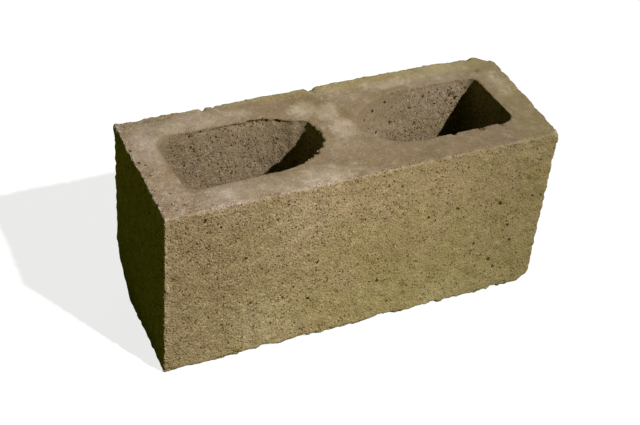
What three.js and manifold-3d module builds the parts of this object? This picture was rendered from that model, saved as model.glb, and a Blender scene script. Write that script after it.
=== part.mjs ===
// Hollow concrete block of the 6 x 8 x 16 inch size class, as it stands in a wall: two cores run
// through it from bed to bed between a centre web, two end webs and two face shells. It is one
// casting. Millimetres, +Z up, X along its length. The origin is the middle of the lower bed.
import * as THREE from "three";
import { mergeVertices } from "three/addons/utils/BufferGeometryUtils.js";
import Module from "manifold-3d";

// The mould box
const blockLength = 397;
const blockWidth = 143;
const blockHeight = 194;
const uprightArris = 2.5; // radius of the four upright edges
const bedArris = 2.5; // radius of the edges round both beds

// The walls left round the cores. The mould's core boxes are tapered so that they draw, which makes
// every wall thicker at the upper bed, where the mortar goes.
const faceShellTop = 32;
const faceShellBottom = 28;
const endWebTop = 30;
const endWebBottom = 26;
const centreWebTop = 40;
const centreWebBottom = 35;

// The cores: square towards the block's ends, drawn in to a half ellipse towards the centre web
const coreCorner = 12; // radius of the two square corners
const coreNose = 68; // length of the half ellipse
const rimTop = 4; // radius of the worn rim at the upper bed
const rimBottom = 2; // radius of the rim at the lower bed

// Corners knocked off. side says which corner, as the signs of X, Y and Z, and reach is how far the
// break runs along each of the three edges that meet there. A scoop of 1 is a flat break, less than
// 1 leaves the corner rounded off, and more than 1 hollows it.
const brokenCorners = [
  { side: [-1, 1, -1], reach: [38, 42, 56], scoop: 0.8 },
  { side: [1, 1, 1], reach: [21, 24, 17], scoop: 0.9 },
  { side: [1, -1, -1], reach: [13, 12, 12], scoop: 0.9 },
  { side: [-1, 1, 1], reach: [9, 8, 8], scoop: 0.8 },
];

// Spalls along the long edges. side is the signs of Y and Z of the edge, fromLeft is the distance
// from the left end, and size is the spall's length, its depth into the face and its depth from the bed.
const edgeSpalls = [
  { side: [1, 1], fromLeft: 90, size: [17, 4.5, 3.5] },
  { side: [1, 1], fromLeft: 197, size: [10, 5, 4] },
  { side: [1, 1], fromLeft: 368, size: [70, 5, 4] },
  { side: [-1, -1], fromLeft: 12, size: [42, 4, 5.5] },
  { side: [-1, -1], fromLeft: 81, size: [17, 3.5, 5] },
  { side: [-1, -1], fromLeft: 106, size: [22, 4, 6.5] },
  { side: [-1, -1], fromLeft: 138, size: [44, 3.5, 5] },
  { side: [-1, -1], fromLeft: 234, size: [36, 4.5, 7] },
  { side: [-1, -1], fromLeft: 272, size: [20, 3, 5] },
  { side: [-1, -1], fromLeft: 324, size: [28, 3, 4.5] },
];

// Spalls along the upright edges. side is the signs of X and Y, fromBed is the height above the lower
// bed, and size is the spall's depths into the end and into the face shell and its height.
const endSpalls = [
  { side: [1, -1], fromBed: 62, size: [3, 3, 22] },
  { side: [1, -1], fromBed: 128, size: [2.5, 3, 15] },
];

const noseSteps = 28;
const cornerSteps = 6;
const rimSteps = 5;
const breakSteps = 7;
const throughCut = 5; // how far a cutting body runs past the face it cuts

const wasm = await Module();
wasm.setup();

function toSolid(geometry) {
  const bare = geometry.clone();
  bare.deleteAttribute("normal");
  bare.deleteAttribute("uv");
  const merged = mergeVertices(bare, 1e-4);
  return new wasm.Manifold(
    new wasm.Mesh({
      numProp: 3,
      vertProperties: new Float32Array(merged.attributes.position.array),
      triVerts: new Uint32Array(merged.index.array),
    }),
  );
}

function toGeometry(solid) {
  const mesh = solid.getMesh();
  const geometry = new THREE.BufferGeometry();
  geometry.setAttribute("position", new THREE.BufferAttribute(mesh.vertProperties, 3));
  geometry.setIndex(new THREE.BufferAttribute(mesh.triVerts, 1));
  return geometry;
}

// The block without its cores: a rounded rectangle raised from bed to bed, with rounded bed edges.
function mouldBox() {
  const x = blockLength / 2 - bedArris;
  const y = blockWidth / 2 - bedArris;
  const r = uprightArris;
  const plan = new THREE.Shape();
  plan.absarc(x - r, y - r, r, 0, Math.PI / 2);
  plan.absarc(r - x, y - r, r, Math.PI / 2, Math.PI);
  plan.absarc(r - x, r - y, r, Math.PI, 1.5 * Math.PI);
  plan.absarc(x - r, r - y, r, 1.5 * Math.PI, 2 * Math.PI);
  const raised = new THREE.ExtrudeGeometry(plan, {
    depth: blockHeight - 2 * bedArris,
    curveSegments: 2,
    bevelThickness: bedArris,
    bevelSize: bedArris,
    bevelSegments: 3,
  });
  return raised.translate(0, 0, bedArris);
}

// Outline of the core on the +X side, at a share of the way up the draft and opened out by grow.
function coreOutline(share, grow) {
  const wall = (bottom, top) => THREE.MathUtils.lerp(bottom, top, share) - grow;
  const outer = blockLength / 2 - wall(endWebBottom, endWebTop);
  const half = blockWidth / 2 - wall(faceShellBottom, faceShellTop);
  const inner = wall(centreWebBottom / 2, centreWebTop / 2);
  const nose = coreNose + grow;
  const corner = coreCorner + grow;
  const arc = (x, y, rx, ry, from, to, steps) =>
    new THREE.EllipseCurve(x, y, rx, ry, from * Math.PI, to * Math.PI).getPoints(steps);
  return [
    ...arc(inner + nose, 0, nose, half, 0.5, 1.5, noseSteps),
    ...arc(outer - corner, corner - half, corner, corner, 1.5, 2, cornerSteps),
    ...arc(outer - corner, half - corner, corner, corner, 0, 0.5, cornerSteps),
  ];
}

// Skin through a pile of outlines with as many points each, closed at both ends.
function loft(outlines) {
  const count = outlines[0].points.length;
  const at = [];
  const faces = [];
  for (const { points, z } of outlines) for (const p of points) at.push(p.x, p.y, z);
  for (let level = 0; level + 1 < outlines.length; level++)
    for (let i = 0; i < count; i++) {
      const a = level * count + i;
      const b = level * count + ((i + 1) % count);
      faces.push(a, b, b + count, a, b + count, a + count);
    }
  const last = (outlines.length - 1) * count;
  for (const [a, b, c] of THREE.ShapeUtils.triangulateShape(outlines[0].points, []))
    faces.push(a, c, b, last + a, last + b, last + c);
  const geometry = new THREE.BufferGeometry();
  geometry.setAttribute("position", new THREE.Float32BufferAttribute(at, 3));
  geometry.setIndex(faces);
  return geometry;
}

// The core box of the mould: tapered, and flared by a quarter round at each rim.
function coreBox() {
  const outlines = [];
  const add = (z, grow) =>
    outlines.push({ z, points: coreOutline(THREE.MathUtils.clamp(z / blockHeight, 0, 1), grow) });
  add(-throughCut, rimBottom);
  for (let i = 0; i <= rimSteps; i++) {
    const turn = (i / rimSteps) * (Math.PI / 2);
    add(rimBottom * (1 - Math.cos(turn)), rimBottom * (1 - Math.sin(turn)));
  }
  for (let i = 0; i <= rimSteps; i++) {
    const turn = (i / rimSteps) * (Math.PI / 2);
    add(blockHeight - rimTop * (1 - Math.sin(turn)), rimTop * (1 - Math.cos(turn)));
  }
  add(blockHeight + throughCut, rimTop);
  return loft(outlines);
}

// What a break takes off a corner: a body round the corner's point that meets each edge at its reach.
// Its surface is where the three shares of the reach, each to the power of scoop, add up to 1.
function cornerBreak({ side, reach, scoop }) {
  const body = new THREE.OctahedronGeometry(1, breakSteps);
  const at = body.attributes.position;
  for (let i = 0; i < at.count; i++) {
    const way = [at.getX(i), at.getY(i), at.getZ(i)];
    const sum = way.reduce((total, w) => total + Math.abs(w) ** scoop, 0);
    at.setXYZ(i, ...way.map((w, axis) => (w * reach[axis]) / sum ** (1 / scoop)));
  }
  const [x, y, z] = side;
  return toSolid(
    body.translate((x * blockLength) / 2, (y * blockWidth) / 2, ((1 + z) * blockHeight) / 2),
  );
}

// What a spall takes off an edge: a rough pebble, centred on the edge.
function spall(x, y, z, size) {
  const pebble = new THREE.IcosahedronGeometry(1, 1);
  return toSolid(pebble.scale(size[0] / 2, size[1], size[2]).translate(x, y, z));
}

let block = toSolid(mouldBox());
const core = toSolid(coreBox());
block = block.subtract(core).subtract(core.mirror([1, 0, 0]));
for (const corner of brokenCorners) block = block.subtract(cornerBreak(corner));
for (const { side, fromLeft, size } of edgeSpalls) {
  const z = side[1] > 0 ? blockHeight : 0;
  block = block.subtract(spall(fromLeft - blockLength / 2, (side[0] * blockWidth) / 2, z, size));
}
for (const { side, fromBed, size } of endSpalls) {
  const at = [(side[0] * blockLength) / 2, (side[1] * blockWidth) / 2, fromBed];
  block = block.subtract(spall(...at, [2 * size[0], size[1], size[2] / 2]));
}

const concrete = new THREE.MeshStandardMaterial({
  color: "#9d8b68",
  roughness: 0.92,
  metalness: 0,
});

const part = new THREE.Group();
const casting = new THREE.Mesh(toGeometry(block), concrete);
casting.name = "concrete_block";
part.add(casting);

export default part;
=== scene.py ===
# A knocked-about hollow concrete block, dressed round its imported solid
import math
from functools import partial

import bpy
import numpy as np
from mathutils import Matrix, Vector


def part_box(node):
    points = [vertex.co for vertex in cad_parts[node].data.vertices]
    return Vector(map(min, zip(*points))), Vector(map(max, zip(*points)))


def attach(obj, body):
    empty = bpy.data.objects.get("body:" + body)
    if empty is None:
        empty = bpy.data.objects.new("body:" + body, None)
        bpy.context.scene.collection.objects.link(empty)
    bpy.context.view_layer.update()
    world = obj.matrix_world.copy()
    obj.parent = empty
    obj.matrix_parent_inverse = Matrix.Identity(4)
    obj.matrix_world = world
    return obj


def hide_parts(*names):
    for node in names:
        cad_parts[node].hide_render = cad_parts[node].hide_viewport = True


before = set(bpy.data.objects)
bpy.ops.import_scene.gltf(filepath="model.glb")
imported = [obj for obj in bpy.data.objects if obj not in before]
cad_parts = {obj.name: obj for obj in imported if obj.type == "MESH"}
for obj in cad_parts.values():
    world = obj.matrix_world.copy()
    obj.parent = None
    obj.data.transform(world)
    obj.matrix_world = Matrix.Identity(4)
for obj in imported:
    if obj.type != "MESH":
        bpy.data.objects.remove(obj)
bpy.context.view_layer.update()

node = "concrete_block"
low, high = (np.array(corner) * 1000 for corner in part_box(node))  # millimetres from here on
length, width, height = high - low
mm = 0.001  # in metres, Blender's unit

# a spot below is how far it lies from the block's left and from its front and, where it has a third
# number, how high above the floor
casting = {
    "faceShell": (28, 32),  # wall thicknesses at the lower and the upper bed
    "endWeb": (26, 30),
    "centreWeb": (35, 40),
    "coreCorner": 12,
    "coreNose": 68,
    # the grid: lines along a half's front, end, back and middle, then rows up the core, over the
    # upper bed, down the outside and under the lower bed
    "columns": (88, 88, 88, 44),
    "rows": (62, 20, 82, 10),
    "noseSteps": 120,  # fine steps round a quarter of the nose and round a corner, from which the
    "cornerSteps": 24,  # grid's lines are picked
    "noseSplit": 0.55,  # share of those steps that goes to the middle's lines
    # how the block came out of the mould and what has happened to it since
    "proud": 0.45,  # how far the mortar stands past the nominal size
    "endProud": (0.2, 1.0),  # how far the left and the right end stand out beyond that
    "twist": 0.9,  # rise of the upper bed at the back left, and fall at the back right
    "arris": 1.0,  # usual radius of an outer edge
    "arrisSwing": 0.8,
    "lowerArris": 5.3,
    # where an end swells out: spot, reach, how far
    "bulges": [(0, 98, 194, 44, 1.0)],
    "rim": 1.1,  # usual radius of a core's upper rim
    "lowerRim": 1.8,
    "lip": 1.1,  # how far the wall falls back just under a crisp rim
    # where the wall passes smoothly into the bed: spot, reach, radius, how smoothly, how far down
    # the wall is smooth
    "softRims": [
        (30, 86, 50, 5, 1, 40), (66, 31, 54, 2.6, 1, 22), (222, 68, 54, 1.2, 1, 190),
        (246, 40, 42, 5, 1, 50), (256, 106, 50, 1.2, 0.6, 96), (318, 111, 60, 1.2, 0.32, 22),
    ],
    # where a rim and the wall under it stand off the cast outline: spot, reach, how far out into
    # the concrete
    "bends": [
        (132, 33, 40, 2.0), (170, 92, 12, 3.0), (182, 70, 12, -0.8), (102, 111, 24, -1.3),
        (60, 111, 22, -0.6), (32, 37, 18, -1.8), (369, 92, 60, -2.4), (62, 31, 46, -4.0),
        (30, 60, 20, -1.8),
    ],
    # where the bed dips towards a rim: spot, reach, how far down
    "dips": [(62, 31, 50, 3.6)],
    # bites out of edges: spot, radius, depth
    "chips": [
        (122, 110, 192.5, 3.6, 2.8), (129, 109.4, 191.5, 3.0, 2.2), (135.5, 108, 192, 4.2, 3.2),
        (147, 104.8, 191.5, 3.2, 2.6), (173, 91, 194, 3.0, 2.6), (176, 84, 194, 3.0, 2.4),
        (179, 78, 194, 2.6, 2.2), (178, 72, 194, 2.6, 2.2), (176, 61, 194, 3.2, 2.6),
        (171, 53, 194, 3.0, 2.4), (163, 46, 194, 3.4, 2.8), (155, 41, 194, 2.8, 2.2),
        (144, 37, 194, 3.0, 2.2), (133, 34, 194, 2.6, 1.8), (300, 31, 194, 3.0, 2.0),
        (329, 30, 194, 3.6, 2.6), (351, 30, 194, 3.0, 2.2), (342, 110.8, 175, 3.4, 2.2),
        (0, 36, 193, 2.8, 1.8), (0, 22, 193, 2.6, 1.6), (0, 61, 193, 2.6, 1.4),
        (0, 97, 193, 2.8, 1.6), (6.4, 0, 111, 2.2, 1.8), (0, 0, 106, 2.4, 1.6),
        (0, 0, 62, 3.0, 1.4), (373, 141.5, 193, 4.2, 1.9), (345, 0, 120, 3.6, 1.2),
        (346, 0, 45, 3.6, 1.2), (37, 0, 183, 3.0, 1.0),
    ],
    # stones that stand out: spot, radius, height
    "stones": [
        (0, 138, 190, 7, 1.8), (3, 0, 110, 3.6, 1.5), (50, 0, 171, 3.2, 0.8),
        (208, 0, 155, 3.4, 0.6), (262, 0, 78, 3.0, 0.6), (120, 0, 186, 3.0, 0.6),
        (64, 0, 100, 2.8, 0.5), (352, 0, 66, 3.0, 0.5),
    ],
    # longer spalls: the edge, as the signs of Y and Z, distance from the left, length, depth
    "spalls": [
        (1, 1, 86, 7, 7), (1, 1, 97, 5, 5), (1, 1, 197, 11, 8), (1, 1, 366, 62, 4.5),
        (-1, -1, 14, 36, 7), (-1, -1, 79, 16, 6), (-1, -1, 104, 22, 8), (-1, -1, 134, 34, 6),
        (-1, -1, 228, 16, 8), (-1, -1, 239, 15, 7.5), (-1, -1, 269, 18, 6), (-1, -1, 328, 10, 5),
    ],
    # knocked corners: which, as signs, how far each break runs along the edges, and a power: 1
    # breaks it off flat, more hollows it and less leaves it full
    "breaks": [
        ((-1, 1, -1), (38, 46, 54), 0.8),
        ((1, 1, 1), (22.5, 17.5, 14), 0.86),
        ((1, -1, -1), (13, 12, 13), 1.0),
        ((1, -1, 1), (7, 6, 5), 1.1),
    ],
    # relief as cast: width of each swell and how far it goes in and out
    "swells": [(48, 0.3), (13, 0.28), (6, 0.34), (3.4, 0.3)],
    "pocks": (10, (1.8, 3.6), 0.34, 1.3),  # cube that holds one, radii, share of cubes, depth
    "nicks": (6, (1.4, 2.6), 0.5, 1.2),  # the same for the nicks along arrises and crisp rims
    # where wear has brought the sand out again on the upper bed: spot, reach
    "worn": [
        (0, 22, 30), (4, 60, 18), (22, 8, 24), (48, 6, 16), (0, 110, 14), (100, 4, 14),
        (10, 140, 18), (46, 141, 12),
    ],
    # where slurry dried smooth and pale on the upper bed: spot, half length, half width, how thick
    "slurry": [
        (18, 92, 16, 50, 1.1), (19, 46, 14, 28, 1), (72, 122, 50, 17, 1), (64, 13, 48, 20, 1.1),
        (140, 10, 54, 17, 0.85), (202, 71, 14, 16, 1.15), (178, 112, 16, 12, 0.9),
        (270, 126, 30, 7, 0.65), (320, 128, 26, 9, 0.5), (384, 96, 8, 20, 0.65),
        (198, 99, 13, 15, 1.0),
    ],
    # soft patches that are lighter or darker, most from the weather, some painted light and painted
    # shade: spot, reach, how much
    "weatherAndPaintedLight": [
        (40, 0, 120, 56, -0.6), (40, 0, 14, 34, 1.0), (100, 0, 36, 58, 2.6), (132, 0, 168, 60, 1.4),
        (228, 0, 92, 52, -1.2), (292, 0, 14, 40, 2.0), (350, 0, 14, 34, 1.3),
        (350, 0, 158, 62, -1.0), (344, 128, 194, 44, 2.0), (298, 128, 194, 30, 0.6),
        (220, 126, 194, 30, 1.3), (178, 128, 194, 30, -1.4), (192, 108, 194, 22, -1.5),
        (188, 62, 194, 14, -1.0), (14, 104, 194, 30, 2.0), (60, 13, 194, 32, 1.9),
        (108, 12, 194, 44, -1.1), (184, 16, 194, 32, -1.0), (197, 48, 194, 24, 1.4),
        (211, 92, 194, 15, -1.8), (260, 14, 194, 30, -1.2), (387, 92, 194, 40, 1.6),
        # (371, 66, 118, 80, -2.6) paints shade on the right core's shaded end wall, and (68, 31,
        # 191, 26, 0.8) below paints light over the shaded rounding of the left core's front rim
        (322, 111, 176, 56, 2.2), (95, 111, 172, 60, 0.5), (371, 66, 118, 80, -2.6),
        (254, 37, 192, 24, 0.9), (68, 31, 191, 26, 0.8), (188, 40, 194, 26, 0.9),
        (262, 100, 138, 44, 1.2), (356, 14, 194, 50, 1.0), (3, 0, 110, 7, 4),
        (12, 20, 194, 26, 1.2), (27, 58, 194, 14, -2.4),
    ],
}


def spread(count, run, fineStart, fineEnd):
    # count + 1 places from 0 to run, four times as close at a fine end as in the middle: equal
    # steps of the integral of 1 + closer exp(-distance / scale) from each fine end
    closer, scale = 3, 5
    place = np.linspace(0, run, 4000)
    mass = place.copy()
    for fine, far in ((fineStart, place), (fineEnd, run - place)):
        if fine:
            mass -= np.sign(far[-1] - far[0]) * closer * scale * np.exp(-far / scale)
    mass -= mass[0]
    return np.interp(np.linspace(0, mass[-1], count + 1), mass, place)


def coreOutline(level):
    # plan of the +X core at one bed, from the nose's tip round by the front: a quarter ellipse,
    # two quarter circles joined by straight runs, and the other quarter of the ellipse
    outer = length / 2 - casting["endWeb"][level]
    half = width / 2 - casting["faceShell"][level]
    inner = casting["centreWeb"][level] / 2
    nose = casting["coreNose"]
    corner = casting["coreCorner"]
    turn = np.linspace(0, math.pi / 2, casting["noseSteps"])
    small = np.linspace(0, math.pi / 2, casting["cornerSteps"])
    front = np.concatenate([
        np.stack([inner + nose - nose * np.cos(turn), -half * np.sin(turn)], 1),
        np.stack([outer - corner + corner * np.sin(small),
                  corner - half - corner * np.cos(small)], 1),
    ])
    return np.concatenate([front, front[::-1] * (1, -1)])


def halfColumns():
    # where each grid line of a half meets the core at both beds, its direction into the concrete
    # there, and where it meets the half's outer rectangle
    beds = [coreOutline(0), coreOutline(1)]
    middle = (beds[0] + beds[1]) / 2
    along = np.concatenate([[0], np.cumsum(np.linalg.norm(np.diff(middle, axis=0), axis=1))])
    total = along[-1]
    splitNose = along[int(casting["noseSteps"] * casting["noseSplit"])]
    splitCorner = along[casting["noseSteps"] + casting["cornerSteps"] // 2]
    stops = [splitNose, splitCorner, total - splitCorner, total - splitNose, total + splitNose]
    x, y = length / 2, width / 2
    corners = np.array([(0, -y), (x, -y), (x, y), (0, y), (0, -y)])
    fine = ((False, True), (True, True), (True, False), (False, False))  # at the arrises
    at, outer = [], []
    for side, count in enumerate(casting["columns"]):
        share = np.linspace(0, 1, count + 1)[:-1]
        at.append(stops[side] + share * (stops[side + 1] - stops[side]))
        step = corners[side + 1] - corners[side]
        run = np.abs(step).sum()
        outer.append(corners[side] + spread(count, run, *fine[side])[:-1, None] / run * step)
    at = np.concatenate(at) % total
    inner = [np.stack([np.interp(at, along, bed[:, axis]) for axis in (0, 1)], 1) for bed in beds]
    ahead, behind = ((at + step) % total for step in (0.4, -0.4))  # the wall's way between them
    way = [np.interp(ahead, along, middle[:, axis]) - np.interp(behind, along, middle[:, axis])
           for axis in (0, 1)]
    into = np.stack([way[1], -way[0]], 1)
    into /= np.linalg.norm(into, axis=1)[:, None]
    return inner, into, np.concatenate(outer)


def sharpHalf():
    # the +X half with sharp edges: one closed profile, up the core's wall, out over the upper bed,
    # down the outside and in under the lower bed, carried round the core. Each point also gets its
    # gap, the distance from the core's wall
    inner, into, outer = halfColumns()
    count = len(outer)
    outside = 99.0  # the gap of the outer faces, where no rim reaches
    bedRun = 30  # how wide a bed is taken to be when its rows are spread
    points, gaps = [], []

    def addRow(plan, z, gap):
        points.append(np.column_stack([plan, np.full(count, z)]))
        gaps.append(gap)

    def across(bed, share, z):
        plan = inner[bed] + share * (outer - inner[bed])
        addRow(plan, z, ((plan - inner[bed]) * into).sum(1))

    coreRows, upperRows, outerRows, lowerRows = casting["rows"]
    for z in spread(coreRows, height, True, True)[:-1]:
        addRow(inner[0] + z / height * (inner[1] - inner[0]), z, np.zeros(count))
    for share in spread(upperRows, bedRun, True, True)[:-1] / bedRun:
        across(1, share, height)
    for z in spread(outerRows, height, True, True)[:0:-1]:
        addRow(outer, z, np.full(count, outside))
    for share in spread(lowerRows, bedRun, True, True)[:0:-1] / bedRun:
        across(0, share, 0.0)
    rows = len(points)
    grid = np.arange(rows * count).reshape(rows, count)
    above, right = np.roll(grid, -1, 0), np.roll(grid, -1, 1)
    faces = np.stack([grid, above, np.roll(above, -1, 1), right], -1)
    # the middle of the block is no outside, so its wall is left out
    firstWall = coreRows + upperRows
    firstMiddle = count - casting["columns"][3]
    keep = np.ones((rows, count), bool)
    keep[firstWall:firstWall + outerRows, firstMiddle:] = False
    return np.concatenate(points), np.concatenate(gaps), np.tile(into, (rows, 1)), faces[keep]


def sharpBlock():
    # both halves, the second mirrored and turned, sewn where they meet and cleared of loose points
    points, gaps, into, faces = sharpHalf()
    flip = np.array((-1, 1, 1))
    allPoints = np.concatenate([points, points * flip])
    allFaces = np.concatenate([faces, faces[:, ::-1] + len(points)])
    gaps = np.tile(gaps, 2)
    into = np.concatenate([into, into * flip[:2]])
    near = np.round(allPoints, 4)
    _, first, same = np.unique(near, axis=0, return_index=True, return_inverse=True)
    same = same.reshape(-1)
    allFaces = same[allFaces]
    used = np.unique(allFaces)
    place = np.zeros(len(first), int)
    place[used] = np.arange(len(used))
    pick = first[used]
    return allPoints[pick], gaps[pick], into[pick], place[allFaces]


tableSize = 4096  # random numbers that cubes pick from, a power of two
cubesAside = 500  # keeps the block away from the pattern's origin


def pickNumber(cube):
    # which number of the table a cube picks, mixed from its three whole coordinates
    mixed = cube[:, 0] * 73856093 ^ cube[:, 1] * 19349663 ^ cube[:, 2] * 83492791
    return mixed & (tableSize - 1)


def noise(points, size, seed):
    # smooth numbers from -1 to 1: a random number at each corner of cubes of this size, blended
    # across a cube by 3 t^2 - 2 t^3 along each axis
    table = np.random.default_rng(seed).random(tableSize) * 2 - 1
    spot = points / size + cubesAside
    cell = np.floor(spot).astype(np.int64)
    t = spot - cell
    t = t * t * (3 - 2 * t)
    total = 0
    for corner in np.ndindex(2, 2, 2):
        number = table[pickNumber(cell + corner)]
        total += number * np.prod(np.where(np.array(corner, bool), t, 1 - t), axis=1)
    return total


def hollows(points, size, radii, share, seed):
    # round hollows, at most one to a cube of this size: 1 - (distance / radius)^2 inside one. The
    # table's numbers place the middle, set the radius and say whether the cube has one
    table = np.random.default_rng(seed).random((tableSize, 5))
    cell = np.floor(points / size + cubesAside).astype(np.int64)
    depth = 0
    for corner in np.ndindex(3, 3, 3):
        cube = cell + corner - 1
        pick = table[pickNumber(cube)]
        middle = (cube + pick[:, :3] - cubesAside) * size
        radius = radii[0] + (radii[1] - radii[0]) * pick[:, 3] ** 2
        inside = 1 - ((points - middle) ** 2).sum(1) / radius ** 2
        depth = np.maximum(depth, np.where(pick[:, 4] < share, inside, 0))
    return depth


def clamp(value):
    # held between 0 and 1
    return np.clip(value, 0, 1)


def fromCorner(points):
    # the same points measured from the block's left, front and floor
    return points + (length / 2, width / 2, 0)


def within(place, spot, reach):
    # 1 - (distance / reach)^2 within the reach of a spot and 0 past it; a spot of two numbers is a
    # place in plan
    return np.maximum(1 - ((place[:, :len(spot)] - spot) ** 2).sum(1) / reach ** 2, 0)


def edgeDistances(points, gaps):
    # how far each point of a face is from the nearest arris, the second least distance to the outer
    # faces, and from the nearest rim, the greater of the distances to a core's wall and to a bed
    half = np.array((length, width)) / 2
    ups = np.column_stack([points[:, 2], height - points[:, 2]])
    toArris = np.sort(np.column_stack([half - np.abs(points[:, :2]), ups]), axis=1)[:, 1]
    return toArris, np.maximum(gaps[:, None], ups).min(1)


def rimSoftness(points):
    # how soft the rim near each point is, falling off from a stretch by (1 - (distance /
    # reach)^2)^2, the rim's radius, which passes by that share from the usual one to the
    # stretch's, and how smooth the wall is, fading evenly down to the stretch's depth
    place = fromCorner(points)
    soft, smoothWall, radius = 0, 0, casting["rim"]
    for *spot, reach, wide, smooth, depth in casting["softRims"]:
        near = within(place, spot, reach) ** 2
        soft = np.maximum(soft, smooth * near)
        radius = np.maximum(radius, casting["rim"] + (wide - casting["rim"]) * near)
        fade = clamp(1 - (height - place[:, 2]) / depth)
        smoothWall = np.maximum(smoothWall, clamp(1.4 * smooth * near) * fade)
    return soft, radius, smoothWall


def roundOff(gaps, radius, power):
    # gaps are a point's distances from the faces that meet. Where two faces or more are nearer than
    # the radius, what the radius leaves past each gap is scaled so that its length, in the norm of
    # this power, is the radius again
    reach = np.maximum(radius[:, None] - gaps, 0)
    size = (reach ** power[:, None]).sum(1) ** (1 / power)
    edge = ((reach > 0).sum(1) > 1)[:, None]
    scale = (radius / np.maximum(size, 1e-9))[:, None]
    return np.where(edge & (reach > 0), radius[:, None] - reach * scale, gaps)


def bendRims(points, gaps, into):
    # each bend's push falls off by (1 - (distance / reach)^2)^2 in plan, by exp(-gap / 8) over the
    # bed and by exp(-(depth / 40)^2) down the wall
    place = fromCorner(points)
    fade = np.exp(-gaps / 8) * np.exp(-((height - points[:, 2]) / 40) ** 2)
    for *spot, reach, push in casting["bends"]:
        points[:, :2] += into * (push * within(place, spot, reach) ** 2 * fade)[:, None]
    return points


def dipBed(points, gaps, down):
    # each dip falls off by (1 - (distance / reach)^2)^2 in plan, by exp(-gap / 7) over the bed and
    # evenly to nothing 30 mm down the wall
    place = fromCorner(points)
    fade = np.exp(-gaps / 7) * clamp(1 - down / 30)
    for *spot, reach, deep in casting["dips"]:
        points[:, 2] -= deep * within(place, spot, reach) ** 2 * fade
    return points


def wearRims(points, gaps, into, soft, upperRim):
    # rounds the cores' rims in the plane of the wall's own direction and Z, by a ragged radius that
    # swings more where it is wide, flatter than a circle here and fuller there
    ragged = 0.45 * noise(points, 9, 21) + 0.75 * noise(points, 4, 22)
    power = 1.8 + 0.4 * noise(points, 9, 23)
    least, most = 0.5, 11
    for upper in (True, False):
        usual = upperRim if upper else casting["lowerRim"]
        radius = np.clip(usual + ragged * (1 + 0.12 * usual), least, most)
        down = height - points[:, 2] if upper else points[:, 2]
        new = roundOff(np.column_stack([gaps, down]), radius, power)
        points[:, :2] += into * (new[:, 0] - gaps)[:, None]
        points[:, 2] += (down - new[:, 1]) * (1 if upper else -1)
        gaps = new[:, 0]
    # under a crisp rim the wall falls back by lip t exp(1 - t), where t is what the depth has past
    # 1 mm, over 2 mm; more here and less there
    t = np.maximum(height - points[:, 2] - 1, 0) / 2
    crisp = clamp(1.2 - 3 * soft)
    uneven = 0.55 + 0.9 * noise(points, 7, 24) + 0.5 * noise(points, 19, 25)
    back = casting["lip"] * t * np.exp(1 - t) * (crisp * np.clip(uneven, 0, 1.5)) * (gaps < 0.5)
    points[:, :2] += into * back[:, None]
    return points


def wearArrises(points):
    # rounds the outer edges by a radius that wanders, with more taken off at each spall: a spall's
    # depth is 1 - |distance from its middle / half its length|^3 of its deepest
    half = np.array((length, width)) / 2
    swing = 0.3 * noise(points, 15, 31) + noise(points, 4.5, 32)
    fromLeft = points[:, 0] + half[0]
    low = clamp(1.5 - points[:, 2] / 8)  # 1 up to 4 mm, 0 from 12 mm
    crisp = 0.4 * clamp(1 - fromLeft / 15)  # the left end's edges are sharper
    atBack = clamp(4 * points[:, 1] / half[1] - 3)  # and the back's are rounder
    radius = casting["arris"] * (1 - crisp + 0.6 * atBack)
    radius += (casting["lowerArris"] - casting["arris"]) * low
    radius += casting["arrisSwing"] * swing * (1 + 3 * low) * (1 - crisp)
    rough = 1 + 0.3 * noise(points, 5, 33)
    nearBy, least, most = 14, 0.4, 12
    for sideY, sideZ, place, run, depth in casting["spalls"]:
        z = height if sideZ > 0 else 0
        near = np.abs(points[:, 1:] - (sideY * half[1], z)).max(1) < nearBy
        shape = np.maximum(1 - np.abs((fromLeft - place) / (run / 2)) ** 3, 0)
        radius = np.maximum(radius, near * depth * shape * rough)
    radius = np.clip(radius, least, most)
    power = 1.6 + 0.5 * noise(points, 11, 34) - 0.04 * radius  # wide ones are flatter
    toBed = np.minimum(points[:, 2], height - points[:, 2])
    gaps = np.column_stack([half - np.abs(points[:, :2]), toBed])
    new = roundOff(gaps, radius, np.clip(power, 0.9, 2.4))
    points[:, :2] += np.sign(points[:, :2]) * (gaps - new)[:, :2]
    points[:, 2] += np.where(points[:, 2] < height / 2, 1, -1) * (new - gaps)[:, 2]
    return points


def knockCorners(points):
    # draws what lies in a break straight in, along the corner's diagonal, until its distances from
    # the three faces, each as a share of the reach and to the break's power, add up to 1. Halving
    # finds how far. Returns 1 on a break, passing to 0 at its border.
    half = np.array((length, width, height)) / 2
    broken = np.zeros(len(points))
    halvings, steep = 30, 12
    for side, reach, power in casting["breaks"]:
        corner = half * side + (0, 0, half[2])
        inward = -np.array(side)
        share = (points - corner) * inward / reach
        share += 0.05 * noise(points, 12, 36)[:, None]

        def size(inset):
            return (np.maximum(inset, 0) ** power).sum(1)

        inside = np.flatnonzero((share.max(1) < 1) & (size(share) < 1))
        near, far = np.zeros(len(inside)), np.ones(len(inside))
        for _ in range(halvings):
            middle = (near + far) / 2
            short = size(share[inside] + middle[:, None]) < 1
            near, far = np.where(short, middle, near), np.where(short, far, middle)
        points[inside] += near[:, None] * inward * reach
        broken[inside] = np.maximum(broken[inside], np.minimum(near * steep, 1))
    return broken


def warpBlock(points):
    # moves the ends out, evenly less over the 12 mm behind them, and further at a bulge; then lifts
    # the back of the upper bed at the left and drops it at the right, in proportion to height
    behind = 12
    for side, proud in zip((-1, 1), casting["endProud"]):
        points[:, 0] += side * proud * clamp(1 - (length / 2 - side * points[:, 0]) / behind)
    for *spot, reach, swell in casting["bulges"]:
        points[:, 0] += np.sign(points[:, 0]) * swell * within(fromCorner(points), spot, reach) ** 2
    back = clamp(0.5 + points[:, 1] / width)
    points[:, 2] -= casting["twist"] * points[:, 0] / (length / 2) * back * points[:, 2] / height
    return points


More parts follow.
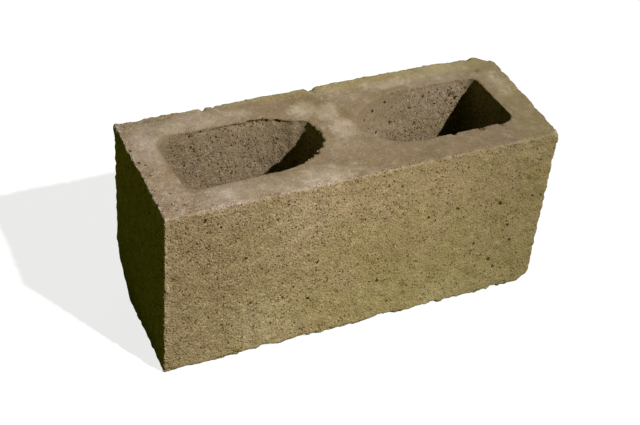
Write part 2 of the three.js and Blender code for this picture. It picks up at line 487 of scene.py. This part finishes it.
def vertexNormals(points, faces):
    # at each point, the sum of the cross products of its faces' diagonals, brought to length 1
    a, b, c, d = (points[faces[:, i]] for i in range(4))
    facing = np.cross(c - a, d - b)
    total = np.zeros_like(points)
    for i in range(4):
        np.add.at(total, faces[:, i], facing)
    return total / np.maximum(np.linalg.norm(total, axis=1), 1e-12)[:, None]


def slurryShare(points, onBed):
    # 1 in the middle of a patch, fading by the square of the distance from it, as a share of the
    # patch's own reach along each axis, and bent by slow noise
    place = fromCorner(points)
    share = -1
    for *spot, halfLength, halfWidth, thick in casting["slurry"]:
        far = (((place[:, :2] - spot) / (halfLength, halfWidth)) ** 2).sum(1)
        share = np.maximum(share, thick * (1.1 - far * 0.7))
    return clamp(share + 0.5 * noise(points, 17, 51)) * onBed


def roughen(points, faces, marks):
    # moves each point along its normal: out by what the mortar stands proud, in and out by the
    # swells, in by the pocks, the nicks along the edges and the chips, and out by the stones.
    # Returns the points, how deep each lies in a hole and how much paler it is on a stone
    normals = vertexNormals(points, faces)
    rowdy = 1 - 0.85 * marks["calm"]
    atEdge = clamp(1 - marks["edge"] / 5)
    out = casting["proud"] * (1 - marks["inCore"])
    place = fromCorner(points)
    # the finer swells are stronger along an edge, most of all along the left end's upper edge, and
    # only the widest pays no heed to how calm the surface is
    knobby = clamp(1 - place[:, 0] / 8) * clamp(1 - (height - place[:, 2]) / 8)
    for seed, (size, deep) in enumerate(casting["swells"], 41):
        keener = atEdge * (1 + 1.5 * knobby) if size < 8 else 0
        loud = 1 if size > 20 else rowdy * (1 + 0.25 * marks["inCore"] + marks["broken"] + keener)
        out = out + deep * loud * noise(points, size, seed)
    size, radii, share, deep = casting["pocks"]
    crowd = share * (1 + marks["inCore"]) * (1 - 0.75 * marks["onBed"])
    holes = hollows(points, size, radii, crowd, 46)
    size, radii, share, nick = casting["nicks"]
    crowd = share * clamp(1.6 - marks["edge"] / 2)
    holes = np.maximum(holes, hollows(points, size, radii, crowd, 47) * nick / deep)
    for *spot, radius, depth in casting["chips"]:
        holes = np.maximum(holes, within(place, spot, radius) * depth / deep)
    stone = 0
    for *spot, radius, tall in casting["stones"]:
        inside = within(place, spot, radius)
        out += tall * np.sqrt(inside)
        stone = np.maximum(stone, np.minimum(3 * inside, 1))
    return points + normals * (out - deep * holes)[:, None], holes, 1.6 * stone


def addObject(name, data):
    # an object in the scene with this mesh, lamp or camera
    made = bpy.data.objects.new(name, data)
    bpy.context.collection.objects.link(made)
    return made


def newPiece(name, points, faces, marks):
    # a mesh from arrays in millimetres, with each mark's number at each point
    mesh = bpy.data.meshes.new(name)
    mesh.from_pydata(points * mm, [], faces)
    for mark, values in marks.items():
        made = mesh.attributes.new(mark, "FLOAT", "POINT")
        made.data.foreach_set("value", values.astype(np.float32))
    mesh.shade_smooth()
    piece = addObject(name, mesh)
    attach(piece, "root")
    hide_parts(node)
    return piece


def buildBlock():
    # the sharp block, worn, broken and roughened. Each mark is a number at each point that says
    # what its surface is like, for the concrete and for the sand grains
    points, gaps, into, faces = sharpBlock()
    print("block: grid of", len(points), "points and", len(faces), "faces")
    soft, upperRim, smoothWall = rimSoftness(points)
    toArris, toRim = edgeDistances(points, gaps)
    down = height - points[:, 2]
    touching = 0.01
    # the bed's finish gives way to the core's, smoothly, over the flare of the rim, from its outer
    # end to a little down the wall; a soft rim has a wide flare, also where its radius is small
    past = np.where(gaps > touching, gaps, -down)
    narrow = clamp(2 - upperRim)
    flare = 0.8 + 2 * (upperRim - casting["rim"]) + 4 * soft * narrow
    give = clamp((flare - past) / (flare + 0.5))
    give = give * give * (3 - 2 * give)
    inside = (down < touching) | (gaps < touching)
    inCore, onBed = np.where(inside, give, 0), np.where(inside, 1 - give, clamp(1 - down / 2.5))
    # and, raggedly, to the faces' at the front and the back arris
    toFace = width / 2 - np.abs(points[:, 1])
    onBed *= clamp(0.7 + toFace / 2 + 0.5 * noise(points, 6, 53))
    # painted shade lies along the rims by exp(-(distance / band)^2), in a wider band on a wide or
    # soft rim, dimming the highlight their rounding catches
    band = 0.5 + 0.5 * upperRim + 2 * soft * narrow
    rimShade = (1 - 0.25 * soft) * np.exp(-(toRim / band) ** 2)
    points = bendRims(points, gaps, into)
    points = wearRims(points, gaps, into, soft, upperRim)
    points = dipBed(wearArrises(points), gaps, down)
    broken = knockCorners(points)
    points = warpBlock(points)
    onBed *= 1 - broken
    slurry = slurryShare(points, onBed)
    # calm: smooth on the bed, on slurry, on the walls under soft rims and a little under all rims,
    # but not along the arrises or where the bed is worn
    smoothWall = np.maximum(1.2 * smoothWall, 0.4 * clamp(1 - down / 30)) * (gaps < 30)
    calm = clamp(0.7 * onBed + 0.3 * slurry + smoothWall)
    fringe = 4
    byArris = np.exp(-(toArris / fringe) ** 2)
    calm *= 1 - 0.7 * byArris
    place = fromCorner(points)
    for *spot, reach in casting["worn"]:
        far = ((place[:, :2] - spot) ** 2).sum(1)
        calm *= 1 - 0.4 * np.exp(-far / reach ** 2)
    marks = {"inCore": inCore, "onBed": onBed, "broken": broken, "slurry": slurry, "calm": calm,
             "rimShade": rimShade, "edge": np.minimum(toArris, toRim + 9 * clamp(2 * soft))}
    points, marks["hole"], marks["tone"] = roughen(points, faces, marks)
    # paler along the upper arrises, more so towards the left, and along those of the left end
    pale = 0.6 + 1.8 * clamp(1 - place[:, 0] / 260)
    marks["tone"] += pale * byArris * np.exp(-(down / fringe) ** 2)
    marks["tone"] += 2.4 * byArris * np.exp(-(place[:, 0] / fringe) ** 2)
    for *spot, reach, lighter in casting["weatherAndPaintedLight"]:
        marks["tone"] += lighter * within(place, spot, reach) ** 2
    points[:, 2] = np.maximum(points[:, 2], 0)  # nothing goes below the floor
    block = newPiece("castBlock", points, faces, marks)
    return block, points, faces, marks


grains = {
    "count": 9400,
    "radius": (0.4, 1.3),
    "sunk": 0.62,  # share of the radius that a grain's middle lies below the surface
    "atEdge": 11,  # how many more stand along an edge for each one on a face
    "inBreak": 8,
    "inCore": 1.6,  # how many stand there for each one on a face
    "onBed": 0.12,
}


def icosahedron():
    # twelve corners at (±1, ±golden, 0) and the same with the axes changed round, brought to
    # length 1, and a face wherever three lie an edge apart, turned to point outwards
    golden = (1 + math.sqrt(5)) / 2
    points = np.array([(s, t * golden, 0) for s in (-1, 1) for t in (-1, 1)])
    points = np.concatenate([np.roll(points, step, 1) for step in range(3)])
    near = np.linalg.norm(points[:, None] - points[None], axis=2) < 2.1  # an edge is 2 long
    faces = [(i, j, k) for i in range(12) for j in range(i + 1, 12) for k in range(j + 1, 12)
             if near[i, j] and near[j, k] and near[i, k]]
    faces = np.array(faces)
    middle = points[faces].sum(1)
    a, b, c = (points[faces[:, i]] for i in range(3))
    inside = (np.cross(b - a, c - a) * middle).sum(1) < 0
    faces[inside] = faces[inside][:, ::-1]
    return points / np.linalg.norm(points[0]), faces


def buildGrains(points, faces, marks):
    # sand grains that stand out of the mortar, thick along the arrises and rims: each is a lumpy
    # icosahedron, its middle sunk under a spot picked on the block's own surface
    rng = np.random.default_rng(71)
    count = grains["count"]
    corners = points[faces]
    facing = np.cross(corners[:, 2] - corners[:, 0], corners[:, 3] - corners[:, 1])
    area = np.linalg.norm(facing, axis=1) / 2
    mean = {name: values[faces].mean(1) for name, values in marks.items()}
    likely = 1 + grains["atEdge"] * clamp(1 - mean["edge"] / 3.5)
    likely += grains["inBreak"] * mean["broken"] + (grains["inCore"] - 1) * mean["inCore"]
    flat = mean["onBed"] * clamp(mean["edge"] / 2)
    likely = (likely * (1 - flat) + grains["onBed"] * flat) * area
    chosen = rng.choice(len(faces), count, p=likely / likely.sum())
    a, b = rng.random((2, count, 1))
    quad = corners[chosen]
    near, far = quad[:, 0] * (1 - a) + quad[:, 1] * a, quad[:, 3] * (1 - a) + quad[:, 2] * a
    spot = near * (1 - b) + far * b
    out = facing[chosen] / np.linalg.norm(facing[chosen], axis=1)[:, None]
    least, most = grains["radius"]
    radius = (least + (most - least) * rng.random(count) ** 2.2)[:, None]
    middle = spot - out * radius * grains["sunk"]

    ball, ballFaces = icosahedron()
    lumps = ball * (0.78 + 0.4 * rng.random((count, 12, 1)))
    lumps *= 0.75 + 0.5 * rng.random((count, 1, 3))
    turns, _ = np.linalg.qr(rng.normal(size=(count, 3, 3)))
    turns *= np.linalg.det(turns)[:, None, None]
    shapes = np.einsum("nij,nkj->nki", turns, lumps) * radius[:, None] + middle[:, None]
    shapes[..., 2] = np.maximum(shapes[..., 2], 0)
    start = 12 * np.arange(count)[:, None, None]
    own = {name: np.repeat(values[faces[chosen, 0]], 12) for name, values in marks.items()}
    own["tone"] += np.repeat(rng.normal(size=count).clip(-2, 2), 12)
    own["hole"] = np.zeros(12 * count)
    return newPiece("sandGrains", shapes.reshape(-1, 3), (ballFaces + start).reshape(-1, 3), own)


def colour(code):
    # sRGB hex to linear, as the standard's curve has it
    parts = [int(code[i:i + 2], 16) / 255 for i in (1, 3, 5)]
    return [p / 12.92 if p <= 0.04045 else ((p + 0.055) / 1.055) ** 2.4 for p in parts] + [1]


def emptyTree(owner):
    # the nodes of a material or of the world, cleared
    owner.use_nodes = True
    owner.node_tree.nodes.clear()
    return owner.node_tree


def addNode(tree, kind, inputs=(), **settings):
    # adds one node. Settings are its own choices; inputs fill its sockets, in order or by name, and
    # another node stands for its first output in use
    made = tree.nodes.new("ShaderNode" + kind)
    for name, value in settings.items():
        setattr(made, name, value)
    for socket, value in inputs.items() if isinstance(inputs, dict) else enumerate(inputs):
        if isinstance(value, bpy.types.Node):
            value = next(out for out in value.outputs if out.enabled)
        if isinstance(value, bpy.types.NodeSocket):
            tree.links.new(value, made.inputs[socket])
        else:
            made.inputs[socket].default_value = value
    return made


look = {
    "brown": "#aa9271",
    "olive": "#9e8d61",
    "bed": "#87735d",
    "slurry": "#b09d8b",
    "core": "#907d65",
    "fresh": "#a59678",
    "paleGrain": "#c8b58e",
    "darkGrain": "#6f511d",
    # the painted shade in the hollows between grains
    "hollowShade": "#725015",
    "rust": "#94713f",
    "blush": "#a88a74",
    "ash": "#c0b099",
    "back": "#99895f",
    "rose": "#a58873",
    "paleCore": "#917e64",
    # a greenish painted shadow for the shaded part of the right core
    "shadowGreen": "#78794c",
    # the painted shade of pores and holes
    "pit": "#4b3308",
    "rimShadeDepth": 0.86,  # how much darker the painted shade makes the rims, and again how much browner
    "ends": (0.81, 0.77),  # how much darker the weathered left and right ends are
    "roughness": 0.92,
    "glint": 0.06,  # specular level outside the pores
    "cloudMm": 60,
    "rustMm": 22,
    "flockMm": 17,  # of pores
    "mottleMm": 14,
    "tornMm": 10,  # the slurry's ragged edge
    "lumpMm": 4.2,
    "crookedMm": 2.2,  # what bends the pores out of round
    "gritMm": 1.9,
    "sandMm": 1.65,
    "finesMm": 1.2,
    "patches": ((13, "blush", 0.5), (9, "ash", 0.65), (24, "bed", 0.6)),  # width, colour, strength
    "sandRise": -0.7,  # how far the relief goes out, in millimetres
    "gritRise": 0.5,
    "poreRise": -0.6,
    "drawn": (1, 1, 0.66),  # the texture's scale along the three axes
    # open pores: width of a cell, the widest pore as a share of it, how many cells hold one
    "pores": ((1.7, 0.46, 0.31), (3.1, 0.34, 0.29), (7.0, 0.21, 0.34)),
    # the largest pits: spot, radius
    "pits": (
        (346, 0, 119, 2.4), (383, 0, 120, 1.8), (345, 0, 46, 2.4), (352, 0, 34, 2.0),
        (334, 0, 56, 1.8), (297, 0, 126, 2.3), (266, 0, 124, 2.1), (37, 0, 183, 2.1),
        (52, 0, 172, 1.9), (77, 0, 127, 2.2), (144, 0, 55, 2.3), (218, 0, 56, 2.3),
        (151, 0, 101, 1.9), (360, 0, 88, 2.0), (366, 0, 66, 2.1), (117, 0, 65, 1.8),
        (107, 0, 165, 1.8), (324, 0, 73, 1.8), (16, 32, 194, 1.3), (1, 100, 195.1, 1.3),
        (8, 77, 194.9, 1.2), (7, 61, 194.8, 1.1), (2, 42, 194.7, 1.3), (12, 18, 194.5, 1.2),
        (3, 82, 195, 1.1), (340, 110.9, 175, 2.8), (346, 110.7, 171, 2.6), (356, 110.2, 182, 2.0),
        (265, 109, 184, 2.0), (250, 105, 180, 1.8), (122, 110.8, 191.8, 2.3),
        (129.5, 109.8, 190, 1.9), (135.7, 108.4, 191, 2.5), (147, 105.1, 190.2, 1.9),
        (62, 110.8, 189.3, 1.6), (73, 110.8, 192, 1.6), (295, 111.5, 169, 1.8),
        (303, 112, 148, 1.9), (275, 111.2, 156, 1.7), (324, 111.5, 168, 1.7),
        (309, 111.3, 180, 1.7), (270, 111, 134, 1.8), (259, 108.4, 149, 1.7),
    ),
}


def castConcrete():
    # normal-weight block concrete, rammed nearly dry into a steel mould: the faces show the sand
    # and fine gravel with open pores between them, matt all over; the struck bed is smoother, and
    # paler where slurry rose and dried
    material = bpy.data.materials.new("castConcrete")
    add = partial(addNode, emptyTree(material))
    place = add("TexCoord").outputs["Object"]
    inCore, onBed, broken, slurry, calm, rimShade, hole, tone = (
        add("Attribute", attribute_name=name).outputs["Fac"]
        for name in ("inCore", "onBed", "broken", "slurry", "calm", "rimShade", "hole", "tone"))
    axes = add("SeparateXYZ", [place]).outputs
    # what many nodes are set to
    smooth = {"interpolation_type": "SMOOTHSTEP"}
    operations = ("ADD", "MULTIPLY", "MULTIPLY_ADD", "MAXIMUM")
    plus, times, timesPlus, greater = ({"operation": name} for name in operations)

    # the mortar: brown at the upper left, more olive low down and to the right
    clouds = add("TexNoise", {"Vector": place, "Scale": 1000 / look["cloudMm"], "Detail": 3})
    drift = add("Math", (axes[0], 1.0, clouds), **timesPlus)
    drift = add("Math", (axes[2], -2.4, drift), **timesPlus)
    base = colour(look["brown"])
    # amounts and colours, laid over the brown in this order
    layers = [(add("MapRange", (drift, -0.1, 0.65), **smooth), "olive")]

    # the struck bed, the cores, the right core's paler wall, a greenish painted shadow low down in
    # it where the sun's shadow falls, fresh breaks and slurry that thins out in a ragged edge
    torn = add("TexNoise", {"Vector": place, "Scale": 1000 / look["tornMm"], "Detail": 5,
                            "Roughness": 0.62, "Distortion": 0.5})
    torn = add("Math", (torn, 2.2, -1.1), **timesPlus)
    laid = add("Math", (torn, slurry), **plus)
    laid = add("MapRange", (laid, 0.0, 1.1), **smooth)
    laid = add("Math", (laid, onBed), **times)
    shelf = add("Math", (onBed, inCore), **plus, use_clamp=True)
    towards = add("MapRange", (axes[0], -0.02, 0.02))
    farCore = add("Math", (inCore, towards), **times)
    # painted shadow: a greenish tint beyond a line that slants down like the edge of the sun's
    # shadow in the right core
    paintedShadow = add("Math", (axes[2], -0.5, axes[0]), **timesPlus)
    paintedShadow = add("MapRange", (paintedShadow, 0.055, 0.1), **smooth)
    paintedShadow = add("Math", (inCore, paintedShadow), **times)
    for most, mark, shade in ((0.95, shelf, "bed"), (1, inCore, "core"), (1, farCore, "paleCore"),
                              (0.45, paintedShadow, "shadowGreen"), (0.8, broken, "fresh"),
                              (0.85, laid, "slurry")):
        layers.append((add("Math", (mark, most), **times), shade))

    # faint rusty clouds where iron in the sand has bled
    stain = add("TexNoise", {"Vector": place, "Scale": 1000 / look["rustMm"], "Detail": 4,
                             "Roughness": 0.6})
    layers.append((add("MapRange", (stain, 0.56, 0.74, 0, 0.2), **smooth), "rust"))

    # the struck bed is pinker towards the front left, and more olive along its back, over a band
    # that widens to the right, and at its right end
    rosy = add("Math", (axes[0], axes[1]), **plus)
    rosy = add("MapRange", (rosy, -0.27, -0.08, 0.5, 0), **smooth)
    behind = add("Math", (axes[0], 0.08, axes[1]), **timesPlus)
    behind = add("MapRange", (behind, 0.05, 0.074, 0, 0.85), **smooth)
    beside = add("MapRange", (axes[0], 0.15, 0.19, 0, 0.5), **smooth)
    behind = add("Math", (behind, beside), **greater)
    for amount, shade in ((rosy, "rose"), (behind, "back")):
        layers.append((add("Math", (amount, onBed), **times), shade))

    # it is mottled, pinkish here and ashen there, most of all where slurry dried
    mottled = add("MapRange", (laid, 0, 1, 0.3, 1))
    mottled = add("Math", (mottled, onBed), **times)
    for size, shade, most in look["patches"]:
        patch = add("TexNoise", {"Vector": place, "Scale": 1000 / size, "Detail": 4,
                                 "Roughness": 0.6, "Distortion": 0.6})
        patch = add("MapRange", (patch, 0.5, 0.68, 0, most), **smooth)
        layers.append((add("Math", (patch, mottled), **times), shade))

    # stripping the mould and the core boxes draws the texture out upwards
    drawn = add("VectorMath", (place, look["drawn"]), **times)

    # sand: each grain its own shade, fainter on calm surfaces and towards the right
    sand = add("TexVoronoi", {"Vector": drawn, "Scale": 1000 / look["sandMm"]})
    lot = add("SeparateColor", [sand.outputs["Color"]]).outputs
    loud = add("MapRange", (calm, 0, 1, 1, 0.32))
    coarse = add("MapRange", (axes[0], -0.15, 0.08, 1, 0.6))
    coarse = add("Math", (farCore, 0.3, coarse), **timesPlus)
    loud = add("Math", (loud, coarse), **times)
    for channel, shade, most, more in ((0, "paleGrain", 0.62, -0.35), (1, "darkGrain", 0.5, -0.15)):
        part = add("MapRange", (lot[channel], 0.68, 1.0, 0, most))
        shown = add("Math", (inCore, more, loud), **timesPlus)
        part = add("Math", (part, shown), **times, use_clamp=True)
        layers.append((part, shade))

    # painted shade: the mortar is darker and warmer in the hollows between grains
    grit = add("TexNoise", {"Vector": drawn, "Scale": 1000 / look["gritMm"], "Detail": 2,
                            "Roughness": 0.6})
    low = add("MapRange", (grit, 0.5, 0.3, 0, 0.4))
    layers.append((add("Math", (low, loud), **times), "hollowShade"))

    # pores of three sizes, bent out of round and gathered in flocks; few in the struck bed. The
    # bend moves a place by up to twice this much, so on average by this much
    aside = 0.0012
    crooked = add("TexNoise", {"Vector": place, "Scale": 1000 / look["crookedMm"], "Detail": 2})
    bent = add("VectorMath", (crooked.outputs["Color"], (2 * aside,) * 3, place), **timesPlus)
    flock = add("TexNoise", {"Vector": place, "Scale": 1000 / look["flockMm"], "Detail": 2})
    flock = add("MapRange", (flock, 0.35, 0.68, 0.45, 1.5))
    more = add("MapRange", (axes[0], -0.03, 0.03, 0.17, 0.06))
    crowd = add("Math", (inCore, more, flock), **timesPlus)
    few = add("MapRange", (calm, 0.1, 0.9, 1, 0.08))
    crowd = add("Math", (crowd, few), **times)
    pit = 0.0
    drawnOut = add("VectorMath", (bent, look["drawn"]), **times)
    for size, widest, many in look["pores"]:
        cell = add("TexVoronoi", {"Vector": drawnOut, "Scale": 1000 / size})
        chance = add("SeparateColor", [cell.outputs["Color"]])
        chance = add("Math", (crowd, many, chance), **timesPlus)
        radius = add("MapRange", (chance, 1.0, 1.14, 0.001, widest))
        depth = add("Math", (cell.outputs["Distance"], radius), operation="DIVIDE")
        depth = add("MapRange", (depth, 1.0, 0.5), **smooth)
        pit = add("Math", (pit, depth), **greater)
    cave = 0.0  # the largest pits, one by one, each with a ragged border
    ragged = add("Math", (grit, 0.005, -0.0025), **timesPlus)
    for *spot, radius in look["pits"]:
        spot = [(at - start) * mm for at, start in zip(spot, (length / 2, width / 2, 0))]
        depth = add("VectorMath", (bent, [at + aside for at in spot]), operation="DISTANCE")
        depth = add("Math", (depth, ragged), **plus)
        depth = add("MapRange", (depth, radius * mm, 0.6 * radius * mm), **smooth)
        cave = add("Math", (cave, depth), **greater)
    pit = add("Math", (pit, cave), **greater)
    # painted shade in pores, darkest in the cores and at the left, and in the shape's holes too
    holeShade = add("MapRange", (hole, 0.0, 1.6, 0, 0.55))
    deep = add("MapRange", (axes[0], -0.1, 0.15, 0.8, 0.6))
    for mark, more in ((inCore, 0.1), (farCore, 0.15), (onBed, -0.2)):
        deep = add("Math", (mark, more, deep), **timesPlus)
    poreShade = add("Math", (pit, deep), **times)
    layers.append((add("Math", (poreShade, holeShade), **greater), "pit"))
    for amount, shade in layers:
        base = add("Mix", {0: amount, 6: base, 7: colour(look[shade])}, data_type="RGBA")

    # lightness: weathered ends, mottle and the painted shade at the rims
    light = add("MapRange", (axes[0], -0.2, 0.0, look["ends"][0], 1), **smooth)
    right = add("MapRange", (axes[0], 0.0, 0.21, 1, look["ends"][1]), **smooth)
    mottle = add("TexNoise", {"Vector": place, "Scale": 1000 / look["mottleMm"], "Detail": 5,
                              "Roughness": 0.62})
    mottle = add("MapRange", (mottle, 0.3, 0.7, 0.88, 1.12))
    rimShadeFactor = add("MapRange", (rimShade, 0, 1, 1, look["rimShadeDepth"]))
    for part in (right, mottle, rimShadeFactor):
        light = add("Math", (light, part), **times)
    base = add("HueSaturation", {"Color": base, "Value": light})

    # tone: what weather, painted light and shade, fines and each standing grain add or take, the
    # rims' painted shade again and the largest pits' painted shade. What is darker is browner: the
    # tone to a higher power in green, and higher still in blue
    fines = add("TexNoise", {"Vector": drawn, "Scale": 1000 / look["finesMm"], "Detail": 1})
    fines = add("MapRange", (fines, 0.3, 0.7, -0.18, 0.18))
    toned = add("Math", (tone, 0.09, 1.0), **timesPlus)
    louder = add("Math", (inCore, 0.5, loud), **timesPlus)
    toned = add("Math", (fines, louder, toned), **timesPlus)
    toned = add("Math", (toned, rimShadeFactor), **times)
    gloom = add("MapRange", (cave, 0, 1, 1, 0.5))
    toned = add("Math", (toned, gloom), **times)
    greener = add("Math", (toned, 1.15), operation="POWER")
    bluer = add("Math", (toned, 1.7), operation="POWER")
    tint = add("CombineColor", (toned, greener, bluer))
    base = add("VectorMath", (base, tint), **times)

    # relief in millimetres: grains stand out, pores go in, and it is calmer where the surface is
    lump = add("TexNoise", {"Vector": place, "Scale": 1000 / look["lumpMm"], "Detail": 3,
                            "Roughness": 0.6})
    relief = add("Math", (sand.outputs["Distance"], look["sandRise"]), **times)
    relief = add("Math", (grit, look["gritRise"], relief), **timesPlus)
    heave = add("MapRange", (inCore, 0, 1, 1.0, 0.8))
    relief = add("Math", (lump, heave, relief), **timesPlus)
    quiet = add("MapRange", (calm, 0, 1, 1, 0.38))
    quiet = add("Math", (quiet, coarse), **times)
    quiet = add("Math", (inCore, -0.3, quiet), **timesPlus)
    relief = add("Math", (relief, quiet), **times)
    relief = add("Math", (pit, look["poreRise"], relief), **timesPlus)
    normal = add("Bump", {"Height": relief, "Distance": mm})
    glint = add("MapRange", (pit, 0, 1, look["glint"], 0))
    shader = add("BsdfPrincipled", {"Base Color": base, "Roughness": look["roughness"],
                                    "Normal": normal, "IOR": 1.5, "Specular IOR Level": glint})
    add("OutputMaterial", [shader])
    return material


studio = {
    "floorSide": 6.0,
    "bounce": (0.10, 0.115, 0.02, 1),  # the floor's colour as the block has it
    "paint": (0.22, 0.22, 0.22, 1),  # and as the camera sees it, with a glow added
    "glow": 0.8,
    "white": (1, 1, 1, 1),
    "sunStrength": 4.25,
    "sunAngle": 1.2,
    "toSun": (0.341, -0.609, 0.716),
    "fill": 0.07,
    "fillColour": (0.77, 1.21, 0.02, 1),
    "backLight": (0.75, 2.0, 0.5),
    "backSize": 1.4,
    "backPower": 13,
    "lens": 78.61,
    "sensor": 36.0,
    "place": (-0.4987, -0.9362, 0.9862),
    "azimuth": -27.44,
    "elevation": 40.23,
    "roll": 5.61,
}


def floorMaterial():
    # pale studio floor: the camera sees it near white with a faint shadow on it, and the block gets
    # only a dim bounce from it
    material = bpy.data.materials.new("studioFloor")
    add = partial(addNode, emptyTree(material))
    seen = add("LightPath").outputs["Is Camera Ray"]
    dim = add("BsdfDiffuse", {"Color": studio["bounce"]})
    pale = add("BsdfDiffuse", {"Color": studio["paint"]})
    glow = add("Emission", {"Color": studio["white"], "Strength": studio["glow"]})
    shown = add("AddShader", (pale, glow))
    add("OutputMaterial", [add("MixShader", (seen, dim, shown))])
    return material


def buildStudio():
    # a floor, a sun from the front right, a faint lamp behind and a dim, greenish world that the
    # camera sees as white
    side = studio["floorSide"] / 2
    mesh = bpy.data.meshes.new("studioFloor")
    mesh.from_pydata([(-side, -side, 0), (side, -side, 0), (side, side, 0), (-side, side, 0)], [],
                     [(0, 1, 2, 3)])
    floor = addObject("studioFloor", mesh)
    mesh.materials.append(floorMaterial())

    lamp = bpy.data.lights.new("keyLight", "SUN")
    lamp.energy = studio["sunStrength"]
    lamp.angle = math.radians(studio["sunAngle"])
    key = addObject("keyLight", lamp)
    key.rotation_euler = Vector(studio["toSun"]).to_track_quat("Z", "Y").to_euler()

    lamp = bpy.data.lights.new("backLight", "AREA")
    lamp.energy = studio["backPower"]
    lamp.size = studio["backSize"]
    back = addObject("backLight", lamp)
    back.location = studio["backLight"]
    back.rotation_euler = Vector(studio["backLight"]).to_track_quat("Z", "Y").to_euler()
    back.visible_camera = False

    world = bpy.data.worlds.new("studioWorld")
    add = partial(addNode, emptyTree(world))
    seen = add("LightPath").outputs["Is Camera Ray"]
    fill = add("Background", {"Color": studio["fillColour"], "Strength": studio["fill"]})
    white = add("Background", {"Color": studio["white"]})
    add("OutputWorld", [add("MixShader", (seen, fill, white))])
    bpy.context.scene.world = world


def placeCamera():
    # looks along +Y at azimuth 0, swung round by the azimuth and tipped down by the elevation
    swing, tip, roll = (math.radians(studio[name]) for name in ("azimuth", "elevation", "roll"))
    data = bpy.data.cameras.new("photoAngle")
    data.lens = studio["lens"]
    data.sensor_width = studio["sensor"]
    camera = addObject("photoAngle", data)
    turn = (Matrix.Rotation(swing, 4, "Z") @ Matrix.Rotation(math.pi / 2 - tip, 4, "X")
            @ Matrix.Rotation(roll, 4, "Z"))
    camera.matrix_world = Matrix.Translation(studio["place"]) @ turn
    bpy.context.scene.camera = camera


bpy.context.scene.view_settings.view_transform = "Standard"
placeCamera()
print("camera placed")
buildStudio()
print("studio lit")
block, points, faces, marks = buildBlock()
print("block cast")
sand = buildGrains(points, faces, marks)
print("sand grains set")
concrete = castConcrete()
for piece in (block, sand):
    piece.data.materials.append(concrete)
print("concrete coloured")
